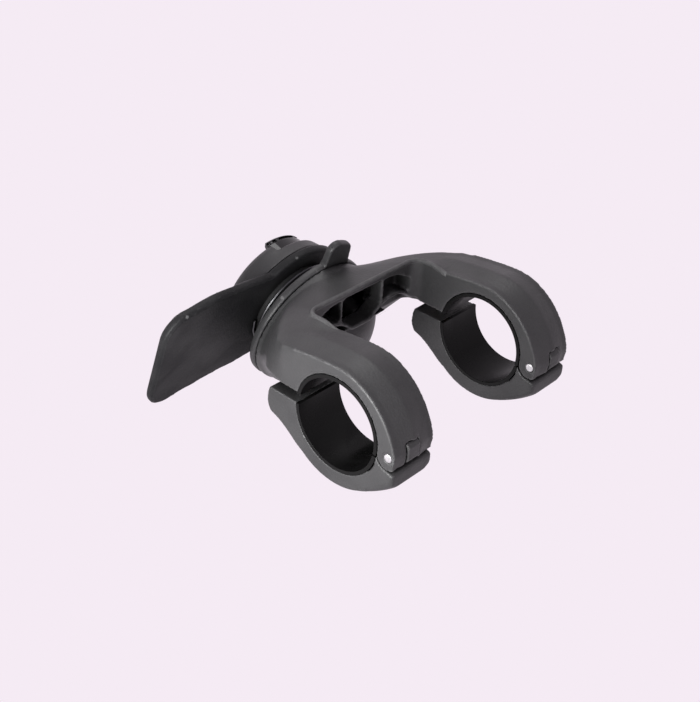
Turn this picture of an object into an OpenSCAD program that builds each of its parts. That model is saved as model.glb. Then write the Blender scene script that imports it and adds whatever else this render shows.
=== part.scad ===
// Phone mount for a bicycle handlebar, held by one clamp on each side of the stem.
// Origin: on the bar's axis, midway between the clamps. X runs along the bar,
// Z runs along the head's axis towards the phone, and the head leans out along +Y.
// Sizes are in millimetres and angles in degrees.

/* [Show] */
// Sub-part to draw, or all

/* [Bar clamps] */
// Diameter of the handlebar
bar_d = 31.8; // [25.4:0.1:35]
// Distance between the middles of the two clamps
clamp_pitch = 72.6; // [60:0.1:90]
// Width of each clamp along the bar
clamp_width = 18.9; // [14:0.1:26]
// Outside diameter of a clamp
clamp_d = 45; // [40:0.5:56]
// Thickness of the rubber liner
liner_wall = 1.3; // [0.8:0.1:2.5]
// Height of the slit's upper face over the bar's axis
slit_top = 3.5; // [2:0.1:6]
// Height of the slit's lower face over the bar's axis
slit_bottom = -0.3; // [-2:0.1:1]
// Length of the face bevel along the bar
bevel_along = 2.6; // [0.5:0.1:4]
// Depth of the face bevel
bevel_deep = 1.1; // [0.2:0.1:2]
// Fall of a clamp's top from its middle to its bevels
top_fall = 1.2; // [0:0.1:2]
// Outside diameter of a cap
cap_d = 47.2; // [40:0.1:56]
// Reach of the cap's ear from the bar's axis
ear_reach = 30.2; // [26:0.1:36]

/* [Hinges] */
// Distance of the hinge pin behind the bar's axis
hinge_back = 21.6; // [18:0.1:28]
// Distance of the hinge pin below the bar's axis
hinge_drop = 1.0; // [0:0.1:4]
// Diameter of the hinge knuckle
knuckle_d = 9.2; // [6:0.1:12]
// Diameter of the hinge pin
hinge_pin_d = 3.0; // [2:0.1:5]
// Gap between the knuckles and their seats
knuckle_gap = 0.4; // [0.3:0.05:0.8]
// Width of the cap's hinge tongue
tongue_w = 5.3; // [3:0.1:10]
// Side gap of the hinge tongue
tongue_gap = 0.15; // [0.05:0.05:0.5]
// Radial clearance of the pin in the tongue
pin_play = 0.05; // [0.02:0.01:0.1]

/* [Clamp bolts] */
// Distance of the clamp bolts in front of the bar's axis
bolt_reach = 24.2; // [22:0.1:30]
// Diameter of the clamp bolts
bolt_d = 4; // [3:0.5:6]
// Diameter of the bolt head
bolt_head_d = 7; // [5:0.1:10]
// Height of the bolt head
bolt_head_h = 3.6; // [2:0.1:6]
// Length of the bolt under its head
bolt_len = 12; // [8:1:25]
// Radial clearance of the bolt in the insert
bolt_play = 0.35; // [0.2:0.05:0.6]

/* [Arms and hub] */
// Lean of the head's axis from the clamps' slit plane
head_lean = 17.6; // [0:0.1:40]
// Distance of the head's axis from the bar, along Y
head_out = 22.2; // [0:0.1:50]
// Height of the hub's seam over the bar
head_up = 51.6; // [40:0.1:80]
// Diameter of the hub's rim
hub_d = 50.8; // [44:0.1:60]
// Height of the hub's rim band
hub_rim_h = 3.4; // [2:0.1:8]
// Depth of the hub's bowl under the seam
bowl_depth = 21.6; // [16:0.1:30]
// Wall of the hub's bowl
bowl_wall = 2.2; // [1.5:0.1:4]
// Distance of the wall between the arms from the bar's axis
throat = 30.5; // [27:0.1:40]
// Corner radius between the arms
throat_r = 4; // [1:0.5:8]
// Height of the window's lower edge
window_low = 6.6; // [4:0.1:9]
// Height of the window's upper edge
window_high = 17.4; // [12:0.1:18]
// Thickness of the ribs in the window
rib_t = 1.4; // [0.8:0.1:2.5]
// Width of the raised lip round the space between the arms
lip_w = 1.7; // [0.8:0.1:3]
// Slope of the raised lip, in degrees
lip_rise = 4.6; // [1:0.1:6]

/* [Base ring and lever] */
// Diameter of the base ring
base_d = 51.8; // [46:0.1:62]
// Thickness of the base ring
base_h = 2.8; // [2:0.1:5]
// Reach of the finger tab from the head's axis
tab_reach = 35; // [30:0.1:45]
// Height of the lever's underside over the seam
lever_low = 9.5; // [7:0.1:14]
// Thickness of the lever
lever_t = 3.5; // [2:0.1:6]
// Diameter of the lever's collar
collar_d = 48; // [40:0.5:60]
// Reach of the lever's paddle from the head's axis
paddle_reach = 63.5; // [50:0.5:80]
// Width of the paddle at its widest
paddle_w = 44.8; // [30:0.1:60]
// Corner radius of the paddle
paddle_r = 9; // [4:0.5:15]
// Bend of the paddle's outer part, in degrees
paddle_bend = 2.4; // [0:0.1:6]
// Travel of the lever
lever_travel = 4; // [2:0.5:5]
// Radial clearance of the lever on the core
lever_play = 0.08; // [0.03:0.01:0.1]

/* [Bayonet head] */
// Diameter of the core that guides the lever
core_d = 34; // [30:0.5:38]
// Diameter of the boss at its foot
boss_d = 45.8; // [40:0.1:52]
// Diameter of the boss at its rim
rim_d = 36.4; // [30:0.1:44]
// Height of the boss's rim over the seam
rim_up = 22.9; // [18:0.1:30]
// Diameter of the bayonet socket
socket_d = 26; // [20:0.5:30]
// Depth of the bayonet socket
socket_depth = 5; // [3:0.5:8]
// Height of the latch above the rim
latch_out = 2.6; // [1:0.1:4]
// Thickness of the latch outside the core
latch_t = 1.9; // [1:0.1:3]
// Turn of the latch's first end round the head
latch_from = -103; // [-180:1:0]
// Angle that the latch spans
latch_span = 56; // [30:1:90]
// Gap round the latch
latch_gap = 0.35; // [0.2:0.05:0.6]

/* [Hidden] */
$fa = 4;
$fs = 0.6;
eps = 0.02;
left = -1;
right = 1;
bar_r = bar_d / 2;
bore_r = bar_r + liner_wall;
ring_r = clamp_d / 2;
mid_x = clamp_pitch / 2;
half_w = clamp_width / 2;
outer_x = mid_x + half_w;
inner_x = mid_x - half_w;
knuckle_r = knuckle_d / 2;
tongue_r = knuckle_r - 0.5;
tongue_seat_r = tongue_r + 0.5;
// Reach of the fixed half's back at the hinge, and height of its top
back_reach = hinge_back + 3.7;
back_top = ring_r - 0.2;
heel_reach = back_reach - 1.1;
cap_r = cap_d / 2;
pin_r = hinge_pin_d / 2;
tongue_x = mid_x + 0.9;
// Where the arms end in the crown, how far their tops have dropped there, and where the lip starts
flow_from = 24;
arm_drop = 2.6;
lip_from = 18;
// Relief at the cap's heel, which lets it swing past the yoke's back
heel_out = 2.6;
heel_down = 0.6;
// Large circle of the cap's back, which flares towards the hinge
flare_a = 113;
flare_t = 26;
flare_r = cap_r + flare_t;
bolt_r = bolt_d / 2;
bolt_seat = -6.6;
washer_t = 0.8;
washer_r = 3.9;
insert_r = 3.1;
insert_len = 7.5;
// Seam circle's centre in the clamp's own directions
head_s = head_out * sin(head_lean) + head_up * cos(head_lean);
head_n = head_up * sin(head_lean) - head_out * cos(head_lean);
hub_r = hub_d / 2;
base_r = base_d / 2;
core_r = core_d / 2;
collar_r = collar_d / 2;
bend_from = collar_r + 1.5;
lever_top = lever_low + lever_t;
boss_low = lever_top + 0.25;
boss_r = boss_d / 2;
rim_r = rim_d / 2;
socket_r = socket_d / 2;
socket_floor = rim_up - socket_depth;
screw_ring_r = 13;
screw_r = 1.5;
screw_len = 12;
latch_r = core_r + latch_t;
latch_inner = core_r - latch_t;
latch_foot = 1.4;
spring_seat_r = core_r + 2.8;
spring_seat_t = 1;
spring_seat_h = 2.2;
spring_wire = 0.45;
lug_deep = 1.5;
lug_t = 2;
rim_round = 3;
rim_drop = 3.4;
boss_screw_r = 2.5;
boss_screw_in = 14.5;
boss_head_r = 4.8;
boss_head_h = 2.8;
screw_play = 0.1;

yoke();
cap(left);  // cap_left
cap(right);  // cap_right
hinge_pin(left);  // hinge_pin_left
hinge_pin(right);  // hinge_pin_right
liner_fixed(left);  // liner_fixed_left
liner_fixed(right);  // liner_fixed_right
liner_cap(left);  // liner_cap_left
liner_cap(right);  // liner_cap_right
clamp_bolt(left);  // clamp_bolt_left
clamp_bolt(right);  // clamp_bolt_right
bolt_washer(left);  // bolt_washer_left
bolt_washer(right);  // bolt_washer_right
thread_insert(left);  // thread_insert_left
thread_insert(right);  // thread_insert_right
base_ring();
base_screws();
release_lever();
return_spring();
latch_clip();
bayonet_boss();
boss_screw();

// Places a part drawn with Y from the bar to the hub and Z up from the slit
module in_clamp_frame() {
    rotate([90 - head_lean, 0, 0]) children();
}

// Places a part drawn round Z with its zero at the hub's seam
module in_head_frame() {
    translate([0, head_out, head_up]) children();
}

// Extrudes a flat outline along the bar from x0
module along_bar(x0, length) {
    translate([x0, 0, 0]) rotate([90, 0, 90]) linear_extrude(length) children();
}

// Cylinder along the bar round a point of the clamp's plane
module bar_rod(x0, length, s, n, r) {
    translate([x0, s, n]) rotate([0, 90, 0]) cylinder(r = r, h = length);
}

// Disc along the bar with both rims bevelled
module bevelled_disc(x0, length, s, n, r) {
    translate([x0, s, n]) rotate([90, 0, 90]) rotate_extrude()
        polygon([[0, 0], [r - bevel_deep, 0], [r, bevel_along],
            [r, length - bevel_along], [r - bevel_deep, length], [0, length]]);
}

// Point of a cubic curve at t from 0 to 1
function curve(a, b, c, d, t) =
    pow(1 - t, 3) * a + 3 * t * pow(1 - t, 2) * b + 3 * t * t * (1 - t) * c + t * t * t * d;

// Angles of one quarter section: spread over the side, then over the top
function quarter(x1, y1, count) = concat(
    [for (i = [0 : count]) atan(y1) * i / count],
    [for (i = [0 : count - 1]) atan2(1, x1) + (90 - atan2(1, x1)) * i / count]);

// Half turn of angles made of a quarter and its mirror image
function half_turn(q) = concat(q, [90], [for (i = [len(q) - 1 : -1 : 1]) 180 - q[i]]);

// Distance of a square with cut corners in the direction t
function cut_square(t, x1, y1) = min(1 / max(abs(cos(t)), 0.0001), 1 / max(abs(sin(t)), 0.0001),
    (1 - x1 * y1) / ((1 - y1) * abs(cos(t)) + (1 - x1) * abs(sin(t))));

// Fall of the crown's top at x, full from the outer bevel on
function fall_at(x) = top_fall * min(1, max(0, (abs(x) - inner_x) / (clamp_width - bevel_along)));

// One section of the crown from its top and bottom points, half width, roundness and share of the fall
function crown_section(top, low, w, round_by, fall, count) =
    let (mid = (top + low) / 2, up = (top - low) / 2, h = norm(up),
        x1 = 1 - bevel_along / w, y1 = 1 - bevel_deep / h,
        x2 = 1 - 0.8 / w, y2 = 1 - 0.4 / h)
    concat(
        [for (t = half_turn(quarter(x1, y1, count)))
            let (f = (1 - round_by) * cut_square(t, x1, y1) + round_by, p = mid + up * f * sin(t))
            [w * f * cos(t), p[0], p[1] - fall * min(1, 2 * sin(t)) * fall_at(w * f * cos(t))]],
        [for (t = half_turn(quarter(x2, y2, count)))
            let (f = (1 - round_by) * cut_square(t, x2, y2) + round_by, p = mid - up * f * sin(t))
            [-w * f * cos(t), p[0], p[1]]]);

// Body that flows from the two arms into the hub's rim
module crown() {
    count = 4;
    arm_steps = 3;
    flow_steps = 18;
    end_k = -1.2;
    end_r = hub_r - 0.5;
    arm_w = outer_x - eps;
    tilt = [-sin(head_lean), cos(head_lean)];
    end_mid = [head_s, head_n] + end_k * [cos(head_lean), sin(head_lean)];
    end_top = end_mid + end_r * tilt;
    end_low = end_mid - end_r * tilt;
    flow_top = [flow_from, back_top - arm_drop];
    flow_low = [flow_from, slit_top];
    arms = [for (i = [0 : arm_steps - 1]) let (s = flow_from * i / arm_steps)
        crown_section([s, back_top - arm_drop - 0.6 * (1 - s / flow_from)], [s, slit_top], arm_w, 0, 1, count)];
    flow = [for (i = [0 : flow_steps]) let (v = i / flow_steps,
            w = end_r + (arm_w - end_r) * (1 - pow(v, 1.25)))
        crown_section(
            curve(flow_top, flow_top + [8, -1.2], end_top - [6.5, 1.1], end_top, v),
            curve(flow_low, flow_low + [20, 0.2], end_low + [-22.5, 19.6], end_low, v),
            w, pow(v, 2.2), 1 - v, count)];
    rings = concat(arms, flow);
    m = len(rings);
    k = len(rings[0]);
    polyhedron(
        points = concat([for (r = rings) for (p = r) p],
            [[0, 0, (back_top - arm_drop + slit_top) / 2], [0, end_mid[0], end_mid[1]]]),
        faces = concat(
            [for (j = [0 : k - 1]) [m * k, (j + 1) % k, j]],
            [for (i = [0 : m - 2]) for (j = [0 : k - 1])
                [i * k + j, i * k + (j + 1) % k, (i + 1) * k + (j + 1) % k]],
            [for (i = [0 : m - 2]) for (j = [0 : k - 1])
                [i * k + j, (i + 1) * k + (j + 1) % k, (i + 1) * k + j]],
            [for (j = [0 : k - 1]) [m * k + 1, (m - 1) * k + j, (m - 1) * k + (j + 1) % k]]),
        convexity = 6);
}

// Section across a clamp with its top at height r, as places along the bar and heights
function clamp_profile(r) = [[inner_x, bore_r - 2], [inner_x, r - bevel_deep], [inner_x + bevel_along, r - top_fall],
    [mid_x, r], [outer_x - bevel_along, r - top_fall], [outer_x, r - bevel_deep], [outer_x, bore_r - 2]];

// Reach of the fixed half's back at angle t from the hub's side
function back_at(t) = back_top + (back_reach - back_top) * pow(max(0, (t - 90) / 90), 3.2);

// Fixed clamp half from its hinge knuckle over the top and along the arm
module clamp_back(side) {
    turn_steps = 26;
    arm_steps = 5;
    to = 196;
    arm_end = flow_from + 1;
    k = 7;
    turned = [for (i = [0 : turn_steps]) let (t = to - (to - 90) * i / turn_steps)
        [for (p = clamp_profile(back_at(min(t, 180)))) [side * p[0], p[1] * cos(t), p[1] * sin(t)]]];
    straight = [for (i = [1 : arm_steps]) let (s = arm_end * i / arm_steps)
        [for (p = clamp_profile(back_top - (arm_drop + 0.5) * pow(s / arm_end, 1.5))) [side * p[0], s, p[1]]]];
    rings = concat(turned, straight);
    m = len(rings) - 1;
    faces = concat(
        [for (j = [1 : k - 2]) [0, j, j + 1]],
        [for (i = [0 : m - 1]) for (j = [0 : k - 1]) [i * k + j, (i + 1) * k + j, (i + 1) * k + (j + 1) % k]],
        [for (i = [0 : m - 1]) for (j = [0 : k - 1]) [i * k + j, (i + 1) * k + (j + 1) % k, i * k + (j + 1) % k]],
        [for (j = [1 : k - 2]) [m * k, m * k + j + 1, m * k + j]]);
    intersection() {
        polyhedron(points = [for (r = rings) each r],
            faces = side > 0 ? faces : [for (f = faces) [f[0], f[2], f[1]]], convexity = 6);
        union() {
            translate([-60, -40, -hinge_drop]) cube([120, 80, 60]);
            bar_rod(side * mid_x - half_w - 1, clamp_width + 2, -hinge_back, -hinge_drop, knuckle_r);
        }
    }
}

// Round bowl under the hub, made smaller by wall all round
module bowl(wall) {
    bend = 4;
    arc_r = bowl_depth - 1 - wall;
    rotate_extrude() intersection() {
        union() {
            translate([bend, -1]) circle(r = arc_r);
            translate([0, -1 - arc_r]) square([bend, arc_r + 1]);
        }
        translate([0, -bowl_depth - 1]) square([hub_r, bowl_depth + 1 - hub_rim_h + 0.4]);
    }
}

// Hub's rim band with a small bevel at its foot
module hub_rim() {
    rotate_extrude()
        polygon([[0, -hub_rim_h], [hub_r - 0.5, -hub_rim_h], [hub_r, -hub_rim_h + 0.6], [hub_r, 0], [0, 0]]);
}

// Outline of the space between the arms with rounded inner corners, made larger by grow
module throat_outline(grow) {
    wide = inner_x - throat_r;
    union() {
        translate([-inner_x - grow, -60]) square([2 * (inner_x + grow), 60 + throat - throat_r]);
        translate([-wide, throat - 2 * throat_r]) square([2 * wide, 2 * throat_r + grow]);
        for (side = [left, right]) translate([side * wide, throat - throat_r]) circle(r = throat_r + grow);
    }
}

// Space between the arms
module throat_gap() {
    translate([0, 0, -60]) linear_extrude(120) throat_outline(0);
}

// Raised lip that leaves the crown's top slowly and runs round the space between the arms
module throat_lip() {
    intersection() {
        translate([0, lip_from, back_top - arm_drop]) rotate([lip_rise, 0, 0])
            translate([0, -lip_from, arm_drop - back_top]) crown();
        translate([0, 0, slit_top + 4]) linear_extrude(60) difference() {
            throat_outline(lip_w);
            translate([-60, -60]) square([120, 60 + lip_from - 1]);
        }
    }
}

// Arches under the wall between the arms, one on each side of the bowl
module wall_arch(side) {
    x = inner_x + 0.5;
    low = slit_top - 8;
    translate([0, throat + 9, 0]) rotate([90, 0, 0]) linear_extrude(12)
        polygon([for (p = [[x, low], [x, slit_top + 1.2], [x - 5, slit_top + 2.1], [x - 9, slit_top + 1.7],
            [x - 12, slit_top + 0.4], [x - 13.5, low]]) [side * p[0], p[1]]]);
}

// Opening in the wall between the arms that leads into the hub
module window() {
    w = inner_x - 2.4;
    translate([0, throat + 7, 0]) rotate([90, 0, 0]) linear_extrude(12)
        polygon([[-w, window_low], [w, window_low], [w, window_high - 4.4], [w - 7, window_high - 0.9],
            [w - 15, window_high], [-w + 15, window_high], [-w + 7, window_high - 0.9], [-w, window_high - 4.4]]);
    translate([0, throat + 15, 0]) rotate([90, 0, 0]) linear_extrude(12)
        polygon([[-w + 8, window_low], [w - 8, window_low], [w - 10, window_high - 2.2], [-w + 10, window_high - 2.2]]);
}

// One thin rib across the window, leaning outwards at its foot
module window_rib(x_top, x_foot, depth) {
    rise = window_high - window_low;
    translate([0, throat + depth, 0]) rotate([90, 0, 0]) linear_extrude(depth - 0.8)
        polygon([[x_foot - rib_t / 2, window_low - 1], [x_foot + rib_t / 2, window_low - 1],
            [x_top + rib_t / 2, window_low + rise + 1], [x_top - rib_t / 2, window_low + rise + 1]]);
}

// Hollow inside the hub with the screw bosses left standing
module hub_hollow() {
    intersection() {
        bowl(bowl_wall);
        difference() {
            translate([-40, -40, -40]) cube([80, 80, 37]);
            for (a = [45 : 90 : 315]) rotate([0, 0, a]) translate([screw_ring_r, 0, -13]) cylinder(r = 3.3, h = 20);
            translate([0, 0, -17]) cylinder(r = 5.2, h = 20);
        }
    }
}

// Cuts for the hinge, the bar and the bolt in one side of the yoke
module yoke_cuts(side) {
    x0 = side * mid_x - half_w;
    bar_rod(x0 - 1, clamp_width + 2, 0, 0, bore_r);
    bar_rod(side * tongue_x - tongue_w / 2 - tongue_gap, tongue_w + 2 * tongue_gap, -hinge_back, -hinge_drop,
        tongue_seat_r);
    bar_rod(x0 - 1, clamp_width + 2, -hinge_back, -hinge_drop, pin_r);
    translate([side * mid_x, bolt_reach, slit_top - 1]) cylinder(r = insert_r, h = 1.5 + insert_len);
    translate([side * mid_x, bolt_reach, slit_top]) cylinder(r = bolt_r + 0.4, h = 11);
}

// One-piece yoke: two fixed clamp halves, the arms and the hub
module yoke() {
    color([0.13, 0.13, 0.14]) difference() {
        union() {
            in_clamp_frame() difference() {
                crown();
                wall_arch(left);
                wall_arch(right);
            }
            in_clamp_frame() throat_lip();
            in_clamp_frame() clamp_back(left);
            in_clamp_frame() clamp_back(right);
            in_head_frame() bowl(0);
            in_head_frame() hub_rim();
        }
        in_clamp_frame() throat_gap();
        in_clamp_frame() difference() {
            window();
            window_rib(-10, -15, 14);
            window_rib(10, 15, 14);
        }
        in_clamp_frame() yoke_cuts(left);
        in_clamp_frame() yoke_cuts(right);
        in_head_frame() hub_hollow();
        in_head_frame() for (a = [45 : 90 : 315]) rotate([0, 0, a])
            translate([screw_ring_r, 0, -12]) cylinder(r = screw_r, h = 20);
        in_head_frame() translate([0, 0, -boss_screw_in - 0.5]) cylinder(r = boss_screw_r + screw_play, h = 20);
    }
}

// Outline of a cap's ear in the clamp's plane
module ear_outline() {
    polygon([[6, slit_bottom], [ear_reach - 0.9, slit_bottom], [ear_reach - 0.3, -2.4],
        [ear_reach, -5.6], [ear_reach - 0.5, -7.6], [ear_reach - 1.5, -9.3], [26.3, -10.2], [24, -11.2],
        [21.6, -12.7], [19.3, -14.3], [16.9, -16.2], [14.5, -17.6], [10, -19.4], [6, -20]]);
}

// Solid shape of a cap before its holes: ring, flare towards the hinge, ear and tongue
module cap_solid(side) {
    x0 = side * mid_x - half_w;
    flare_s = -flare_t * cos(flare_a);
    flare_n = flare_t * sin(flare_a);
    intersection() {
        bevelled_disc(x0, clamp_width, 0, 0, cap_r);
        translate([x0 - 1, -40, -40]) cube([clamp_width + 2, 80, 40 + slit_bottom]);
    }
    intersection() {
        bevelled_disc(x0, clamp_width, flare_s, flare_n, flare_r);
        translate([x0 - 1, -heel_reach, -26]) cube([clamp_width + 2, heel_reach - 11.2, 26 - hinge_drop]);
    }
    along_bar(x0, clamp_width) ear_outline();
    intersection() {
        bar_rod(side * tongue_x - tongue_w / 2, tongue_w, -hinge_back, -hinge_drop, tongue_r);
        translate([x0 - 1, 0.3 - back_reach, -20]) cube([clamp_width + 2, 20, 40]);
    }
}

// Hinged clamp half with its tongue, ear and bolt seat
module cap(side) {
    x0 = side * mid_x - half_w;
    seat_r = knuckle_r + knuckle_gap;
    ear_x = side * tongue_x - tongue_w / 2;
    ear_end = ear_x + tongue_w;
    low_w = ear_x - x0;
    high_w = x0 + clamp_width - ear_end;
    color([0.12, 0.12, 0.13]) in_clamp_frame() difference() {
        cap_solid(side);
        bar_rod(x0 - 1, clamp_width + 2, 0, 0, bore_r);
        bar_rod(x0 - 1, low_w + 1, -hinge_back, -hinge_drop, seat_r);
        bar_rod(ear_end, high_w + 1, -hinge_back, -hinge_drop, seat_r);
        difference() {
            bar_rod(x0 - 1, clamp_width + 2, -hinge_back - heel_out, -hinge_drop - heel_down, seat_r);
            bar_rod(ear_x - 0.1, tongue_w + 0.2, -hinge_back, -hinge_drop, tongue_r);
        }
        bar_rod(x0 - 1, clamp_width + 2, -hinge_back, -hinge_drop, pin_r + pin_play);
        translate([x0 - 1, -hinge_back - 8, -hinge_drop - 0.5]) cube([low_w + 1, 13, 8]);
        translate([ear_end, -hinge_back - 8, -hinge_drop - 0.5]) cube([high_w + 1, 13, 8]);
        translate([side * mid_x, bolt_reach, -30]) cylinder(r = bolt_r + 0.3, h = 40);
        translate([side * mid_x, bolt_reach, -30]) cylinder(r = washer_r + 0.2, h = 30 + bolt_seat);
    }
}

// Steel pin that a cap turns on
module hinge_pin(side) {
    color([0.85, 0.85, 0.86]) in_clamp_frame()
        bar_rod(side * mid_x - half_w + 0.1, clamp_width - 0.2, -hinge_back, -hinge_drop, pin_r);
}

// Rubber sleeve of one clamp before it is split
module liner_tube(side) {
    x0 = side * mid_x - half_w;
    difference() {
        bar_rod(x0, clamp_width, 0, 0, bore_r);
        bar_rod(x0 - 1, clamp_width + 2, 0, 0, bar_r);
    }
}

// Rubber liner of a fixed half
module liner_fixed(side) {
    x0 = side * mid_x - half_w - 1;
    color([0.07, 0.07, 0.07]) in_clamp_frame() intersection() {
        liner_tube(side);
        union() {
            translate([x0, -0.5, slit_top]) cube([clamp_width + 2, 30, 30]);
            translate([x0, -30, -2.4]) cube([clamp_width + 2, 30, 33]);
        }
    }
}

// Rubber liner of a cap
module liner_cap(side) {
    x0 = side * mid_x - half_w - 1;
    color([0.07, 0.07, 0.07]) in_clamp_frame() intersection() {
        liner_tube(side);
        union() {
            translate([x0, -0.5, -30]) cube([clamp_width + 2, 30, 30 + slit_bottom]);
            translate([x0, -30, -30]) cube([clamp_width + 2, 30, 27]);
        }
    }
}

// Socket-head bolt that closes a clamp, drawn as far out as the open slit leaves it
module clamp_bolt(side) {
    head_low = bolt_seat - washer_t - bolt_head_h;
    color([0.6, 0.6, 0.62]) in_clamp_frame() translate([side * mid_x, bolt_reach, head_low]) difference() {
        union() {
            cylinder(r = bolt_head_d / 2, h = bolt_head_h);
            translate([0, 0, bolt_head_h]) cylinder(r = bolt_r, h = bolt_len);
        }
        translate([0, 0, -0.1]) cylinder(r = 1.75, h = 2.2, $fn = 6);
    }
}

// Washer between a bolt head and its cap
module bolt_washer(side) {
    color([0.75, 0.75, 0.77]) in_clamp_frame() translate([side * mid_x, bolt_reach, bolt_seat - washer_t]) difference() {
        cylinder(r = washer_r, h = washer_t);
        translate([0, 0, -1]) cylinder(r = bolt_r, h = 5);
    }
}

// Brass insert in the yoke that takes a clamp bolt
module thread_insert(side) {
    color([0.75, 0.6, 0.3]) in_clamp_frame() translate([side * mid_x, bolt_reach, slit_top + 0.5]) difference() {
        cylinder(r = insert_r, h = insert_len);
        translate([0, 0, -1]) cylinder(r = bolt_r + bolt_play, h = insert_len + 2);
    }
}

// Flat finger tab of the base ring
module finger_tab() {
    linear_extrude(base_h) hull() {
        translate([2.9, -tab_reach + 3.6]) circle(r = 3.6, $fn = 32);
        translate([6.9, -tab_reach + 5.6]) circle(r = 3.9, $fn = 32);
        translate([2.2, -20]) circle(r = 3.4, $fn = 32);
        translate([8.8, -20]) circle(r = 3.4, $fn = 32);
    }
}

// Ring between the hub and the lever, with its finger tab and spring seat
module base_ring() {
    color([0.12, 0.12, 0.13]) in_head_frame() difference() {
        union() {
            rotate_extrude()
                polygon([[0, 0], [base_r - 0.4, 0], [base_r, 0.4], [base_r, base_h - 0.5], [base_r - 0.5, base_h],
                    [spring_seat_r + spring_seat_t, base_h], [spring_seat_r + spring_seat_t, base_h + spring_seat_h],
                    [spring_seat_r, base_h + spring_seat_h], [spring_seat_r, base_h], [0, base_h]]);
            finger_tab();
        }
        for (a = [45 : 90 : 315]) rotate([0, 0, a]) translate([screw_ring_r, 0, 0]) {
            translate([0, 0, -1]) cylinder(r = screw_r, h = 10);
            translate([0, 0, base_h - 2]) cylinder(r = 2.9, h = 10);
        }
        translate([0, 0, -1]) cylinder(r = boss_screw_r + screw_play, h = base_h + 2);
    }
}

// Four screws that hold the base ring to the hub
module base_screws() {
    color([0.7, 0.7, 0.72]) in_head_frame() for (a = [45 : 90 : 315]) rotate([0, 0, a])
        translate([screw_ring_r, 0, base_h - 2]) difference() {
            union() {
                cylinder(r = 2.8, h = 1.9);
                translate([0, 0, -screw_len + 0.8]) cylinder(r = screw_r, h = screw_len);
            }
            translate([0, 0, 0.9]) cylinder(r = 1.15, h = 2, $fn = 6);
        }
}

// Outline of the lever's paddle, made smaller by inset
module paddle_outline(inset) {
    x_end = -paddle_reach + paddle_r;
    y_end = paddle_w / 2 - 0.9 - paddle_r;
    union() {
        polygon([[0, -18 + inset], [-10, -18.7 + inset], [-24, -20.3 + inset], [-42, -paddle_w / 2 + inset],
            [x_end - 0.6, -y_end - paddle_r + inset], [-paddle_reach + inset, -y_end],
            [-paddle_reach + inset, y_end], [x_end - 0.6, y_end + paddle_r - inset],
            [-42, paddle_w / 2 - inset], [-24, 20.3 - inset], [-10, 18.7 - inset], [0, 18 - inset]]);
        translate([x_end, -y_end]) circle(r = paddle_r - inset);
        translate([x_end, y_end]) circle(r = paddle_r - inset);
    }
}

// Plate of the paddle with both rims stepped in
module paddle_plate() {
    bevel = 0.7;
    translate([0, 0, lever_low + bevel]) linear_extrude(lever_t - 2 * bevel) paddle_outline(0);
    translate([0, 0, lever_low]) linear_extrude(lever_t) paddle_outline(bevel);
}

// Spring-loaded lever: a collar on the core and a broad paddle that bends down towards its end
module release_lever() {
    color([0.1, 0.1, 0.105]) in_head_frame() difference() {
        union() {
            intersection() {
                paddle_plate();
                translate([-bend_from, -60, 0]) cube([120, 120, 40]);
            }
            translate([-bend_from, 0, lever_low]) rotate([0, -paddle_bend, 0])
                translate([bend_from, 0, -lever_low]) intersection() {
                    paddle_plate();
                    translate([-120 - bend_from + 0.3, -60, 0]) cube([120, 120, 40]);
                }
            rotate_extrude()
                polygon([[0, lever_low], [collar_r - 0.8, lever_low], [collar_r, lever_low + 0.6],
                    [collar_r, lever_top - 0.8], [collar_r - 0.9, lever_top], [0, lever_top]]);
        }
        cylinder(r = core_r + lever_play, h = lever_top + 5);
    }
}

// Coil spring under the lever, round the core
module return_spring() {
    wire = spring_wire;
    turns = 2.5;
    per_turn = 24;
    sides = 6;
    mid = (core_r + spring_seat_r) / 2 + 0.1;
    low = base_h + wire + 0.02;
    rise = lever_low - base_h - 2 * wire - 0.04;
    steps = turns * per_turn;
    color([0.6, 0.6, 0.62]) in_head_frame() polyhedron(
        points = [for (i = [0 : steps]) for (j = [0 : sides - 1])
            let (a = 360 * i / per_turn, b = 360 * j / sides, r = mid + wire * cos(b))
            [r * cos(a), r * sin(a), low + rise * i / steps + wire * sin(b)]],
        faces = concat(
            [[for (j = [0 : sides - 1]) j]],
            [for (i = [0 : steps - 1]) for (j = [0 : sides - 1])
                [i * sides + j, (i + 1) * sides + j, (i + 1) * sides + (j + 1) % sides]],
            [for (i = [0 : steps - 1]) for (j = [0 : sides - 1])
                [i * sides + j, (i + 1) * sides + (j + 1) % sides, i * sides + (j + 1) % sides]],
            [[for (j = [sides - 1 : -1 : 0]) steps * sides + j]]),
        convexity = 8);
}

// Latch that stands on the lever and rises above the rim
module latch_clip() {
    color([0.04, 0.04, 0.04]) in_head_frame() rotate([0, 0, latch_from]) rotate_extrude(angle = latch_span)
        polygon([[core_r + 0.3, lever_top], [latch_r, lever_top], [latch_r, rim_up + latch_out - 0.9],
            [latch_r - 0.9, rim_up + latch_out], [latch_inner + 0.7, rim_up + latch_out],
            [latch_inner, rim_up + latch_out - 0.7], [latch_inner, lever_top + lever_travel + latch_foot],
            [core_r + 0.3, lever_top + lever_travel + latch_foot]]);
}

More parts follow.
